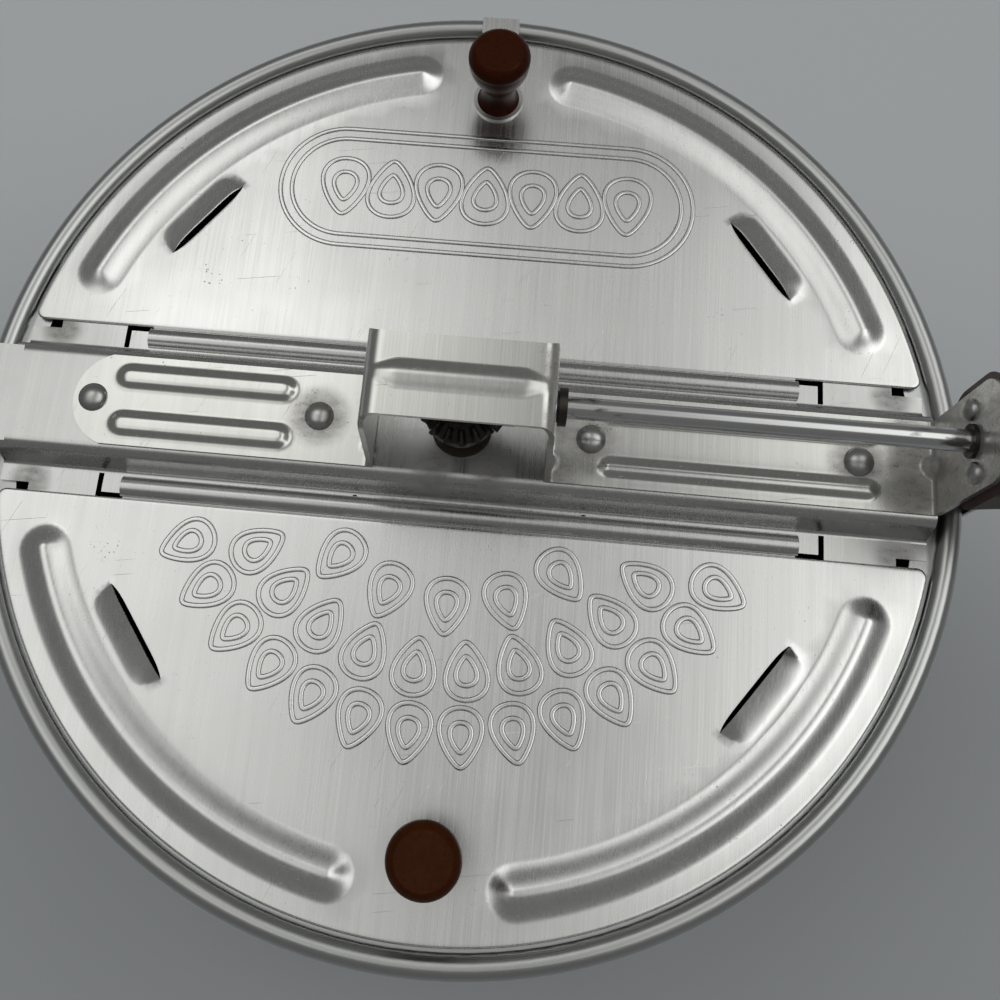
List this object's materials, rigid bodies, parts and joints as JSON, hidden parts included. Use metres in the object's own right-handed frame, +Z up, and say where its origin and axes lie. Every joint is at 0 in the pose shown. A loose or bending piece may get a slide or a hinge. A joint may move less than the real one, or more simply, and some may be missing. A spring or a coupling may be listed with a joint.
{
  "type": "stovetop popcorn popper",
  "caption": "Deep round pan with a clipped lid: hinged half doors, wooden knobs and handle, and a hand crank that turns a wire stirrer through bevel gears.",
  "frame": {"origin": "middle of the pan's flat underside, which rests on the stove", "axes": "+Z up, +X along the lid's bar towards the handle and crank, +Y towards the back door"},
  "size_m": [0.43, 0.24, 0.19],
  "materials": {
    "pan_aluminium": "spun, satin, with fine turned lines",
    "lid_aluminium": "brushed satin sheet with scratches",
    "bracket_steel": "brushed satin strip, grease stained near the folds",
    "rivet_aluminium": "satin domes",
    "polished_steel": "polished, with a dark greasy side",
    "plated_steel": "plated, slightly worn",
    "dark_bush": "dark, greasy",
    "brass_bush": "turned, dull",
    "black_gear": "black, greasy",
    "red_wood": "stained and varnished, turned",
    "orange_wood": "stained and varnished, turned",
    "brown_wood": "stained dark brown, worn varnish"
  },
  "bodies": {
    "root": {"pan": "pan_aluminium", "bridge": "lid_aluminium", "gear_bracket": "bracket_steel", "bracket_rivets": "rivet_aluminium", "handle_grip": "brown_wood", "handle_screws": "plated_steel", "handle_ferrule": "plated_steel", "leg_bushing": "dark_bush", "plate_bushing": "dark_bush", "rim_clip": "plated_steel", "clip_screw": "plated_steel", "shaft_bushing": "brass_bush"},
    "back_door": {"door_back": "lid_aluminium", "knob_back": "red_wood", "knob_screw_back": "plated_steel", "knob_washer_back": "plated_steel"},
    "front_door": {"door_front": "lid_aluminium", "knob_front": "orange_wood", "knob_screw_front": "plated_steel", "knob_washer_front": "plated_steel"},
    "crank": {"crank_rod": "polished_steel", "rod_collar": "plated_steel", "drive_pinion": "black_gear", "pinion_pin": "plated_steel", "crank_grip_cap": "plated_steel"},
    "crank_handle": {"crank_grip": "brown_wood"},
    "stirrer": {"stirrer_shaft": "polished_steel", "driven_gear": "black_gear", "gear_pin": "plated_steel", "shaft_collar": "plated_steel", "stirrer_hub": "plated_steel", "stirrer_wire_low": "polished_steel", "stirrer_wire_high": "polished_steel"}
  },
  "joints": [
    {"name": "back_door_hinge", "type": "hinge", "parent": "root", "child": "back_door", "pos_m": [0, 0.0193, 0.1417], "axis": [1, 0, 0], "range_deg": [0, 84]},
    {"name": "front_door_hinge", "type": "hinge", "parent": "root", "child": "front_door", "pos_m": [0, -0.0193, 0.1417], "axis": [-1, 0, 0], "range_deg": [0, 84]},
    {"name": "crank_turn", "type": "hinge", "parent": "root", "child": "crank", "pos_m": [0.06, 0, 0.1735], "axis": [1, 0, 0], "continuous": true},
    {"name": "grip_spin", "type": "hinge", "parent": "crank", "child": "crank_handle", "pos_m": [0.29, 0, 0.1235], "axis": [1, 0, 0], "continuous": true},
    {"name": "stirrer_turn", "type": "hinge", "parent": "root", "child": "stirrer", "pos_m": [0, 0, 0.1], "axis": [0, 0, 1], "continuous": true}
  ],
  "couplings": [
    {"joint": "stirrer_turn", "follows": "crank_turn", "ratio": 0.66667}
  ]
}
